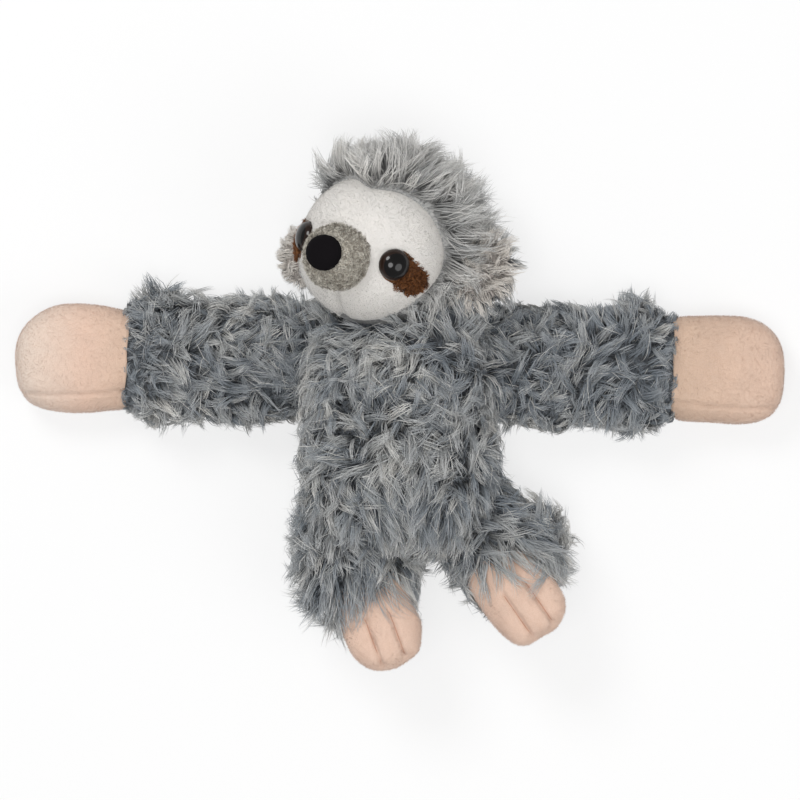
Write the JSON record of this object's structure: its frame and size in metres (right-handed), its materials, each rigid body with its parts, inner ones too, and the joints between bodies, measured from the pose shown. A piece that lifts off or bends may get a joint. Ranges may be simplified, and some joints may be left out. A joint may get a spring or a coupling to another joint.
{
  "type": "plush sloth",
  "caption": "Stuffed plush sloth lying on its back, arms held out straight by a slap band that curls them round a wrist, with a turning head and hinged legs.",
  "frame": {"origin": "under the middle of the whole toy, on the surface it lies on", "axes": "+Z out of the belly, +Y towards the head, +X towards the toy's own left hand"},
  "size_m": [0.29, 0.1928, 0.0814],
  "materials": {
    "grey_fur": "long shaggy plush with lighter tips",
    "white_plush": "short dense plush",
    "muzzle_plush": "short velvety plush",
    "brown_plush": "short plush",
    "ear_plush": "short plush",
    "peach_plush": "smooth short-pile plush",
    "stuffing": "loose polyester fibre",
    "eye_plastic": "gloss",
    "nose_plastic": "matte",
    "washer_plastic": "satin",
    "spring_steel": "satin",
    "vinyl": "satin"
  },
  "bodies": {
    "torso": {"torso_fur_cover": "grey_fur", "torso_stuffing": "stuffing", "band_steel_centre": "spring_steel", "band_sleeve_centre": "vinyl"},
    "neck": {"neck_stuffing": "stuffing"},
    "head": {"head_fur_cover": "grey_fur", "head_stuffing": "stuffing", "face_panel": "white_plush", "muzzle_cover": "muzzle_plush", "muzzle_stuffing": "stuffing", "nose": "nose_plastic", "nose_washer": "washer_plastic", "left_eye": "eye_plastic", "left_eye_washer": "washer_plastic", "left_eye_patch": "brown_plush", "left_ear_front": "ear_plush", "left_ear_back": "grey_fur", "right_eye": "eye_plastic", "right_eye_washer": "washer_plastic", "right_eye_patch": "brown_plush", "right_ear_front": "ear_plush", "right_ear_back": "grey_fur"},
    "left_upper_arm": {"left_upper_arm_sleeve": "grey_fur", "left_upper_arm_stuffing": "stuffing", "left_upper_arm_band_steel": "spring_steel", "left_upper_arm_band_sleeve": "vinyl"},
    "left_forearm": {"left_forearm_sleeve": "grey_fur", "left_forearm_stuffing": "stuffing", "left_forearm_band_steel": "spring_steel", "left_forearm_band_sleeve": "vinyl"},
    "left_hand": {"left_hand_cover": "peach_plush", "left_hand_stuffing": "stuffing", "left_hand_band_steel": "spring_steel", "left_hand_band_sleeve": "vinyl"},
    "left_leg": {"left_leg_fur_cover": "grey_fur", "left_leg_stuffing": "stuffing"},
    "left_foot": {"left_foot_cover": "peach_plush", "left_foot_stuffing": "stuffing"},
    "right_upper_arm": {"right_upper_arm_sleeve": "grey_fur", "right_upper_arm_stuffing": "stuffing", "right_upper_arm_band_steel": "spring_steel", "right_upper_arm_band_sleeve": "vinyl"},
    "right_forearm": {"right_forearm_sleeve": "grey_fur", "right_forearm_stuffing": "stuffing", "right_forearm_band_steel": "spring_steel", "right_forearm_band_sleeve": "vinyl"},
    "right_hand": {"right_hand_cover": "peach_plush", "right_hand_stuffing": "stuffing", "right_hand_band_steel": "spring_steel", "right_hand_band_sleeve": "vinyl"},
    "right_leg": {"right_leg_fur_cover": "grey_fur", "right_leg_stuffing": "stuffing"},
    "right_foot": {"right_foot_cover": "peach_plush", "right_foot_stuffing": "stuffing"}
  },
  "joints": [
    {"name": "head_turn", "type": "hinge", "parent": "torso", "child": "neck", "pos_m": [-0.0065, 0.06108, 0.034], "axis": [0, 1, 0], "range_deg": [-10, 50]},
    {"name": "head_nod", "type": "hinge", "parent": "neck", "child": "head", "pos_m": [-0.0065, 0.06108, 0.034], "axis": [0.8548, -0.2777, 0.4384], "range_deg": [-20, 10]},
    {"name": "left_shoulder_curl", "type": "hinge", "parent": "torso", "child": "left_upper_arm", "pos_m": [0.03999, 0.01851, 0.0135], "axis": [-0.0192, -0.9998, 0], "range_deg": [0, 50]},
    {"name": "left_elbow_curl", "type": "hinge", "parent": "left_upper_arm", "child": "left_forearm", "pos_m": [0.07299, 0.01788, 0.0135], "axis": [-0.0192, -0.9998, 0], "range_deg": [0, 50]},
    {"name": "left_wrist_curl", "type": "hinge", "parent": "left_forearm", "child": "left_hand", "pos_m": [0.10398, 0.01728, 0.0135], "axis": [-0.0192, -0.9998, 0], "range_deg": [0, 50]},
    {"name": "left_hip_lift", "type": "hinge", "parent": "torso", "child": "left_leg", "pos_m": [0.02886, -0.03693, 0.03855], "axis": [-0.7431, -0.6691, 0], "range_deg": [0, 60]},
    {"name": "left_ankle_flex", "type": "hinge", "parent": "left_leg", "child": "left_foot", "pos_m": [0.036, -0.05542, 0.0407], "axis": [-0.8192, -0.5736, 0], "range_deg": [0, 30]},
    {"name": "right_shoulder_curl", "type": "hinge", "parent": "torso", "child": "right_upper_arm", "pos_m": [-0.03999, 0.02005, 0.0135], "axis": [0.0192, 0.9998, 0], "range_deg": [0, 50]},
    {"name": "right_elbow_curl", "type": "hinge", "parent": "right_upper_arm", "child": "right_forearm", "pos_m": [-0.07299, 0.02068, 0.0135], "axis": [0.0192, 0.9998, 0], "range_deg": [0, 50]},
    {"name": "right_wrist_curl", "type": "hinge", "parent": "right_forearm", "child": "right_hand", "pos_m": [-0.10398, 0.02128, 0.0135], "axis": [0.0192, 0.9998, 0], "range_deg": [0, 50]},
    {"name": "right_hip_lift", "type": "hinge", "parent": "torso", "child": "right_leg", "pos_m": [-0.01657, -0.04379, 0.03891], "axis": [-0.9945, -0.1045, 0], "range_deg": [0, 60]},
    {"name": "right_ankle_flex", "type": "hinge", "parent": "right_leg", "child": "right_foot", "pos_m": [-0.01236, -0.06518, 0.04139], "axis": [-0.9397, -0.342, 0], "range_deg": [0, 30]}
  ],
  "couplings": [
    {"joint": "left_elbow_curl", "follows": "left_shoulder_curl", "ratio": 1},
    {"joint": "left_wrist_curl", "follows": "left_shoulder_curl", "ratio": 1},
    {"joint": "right_elbow_curl", "follows": "right_shoulder_curl", "ratio": 1},
    {"joint": "right_wrist_curl", "follows": "right_shoulder_curl", "ratio": 1}
  ]
}
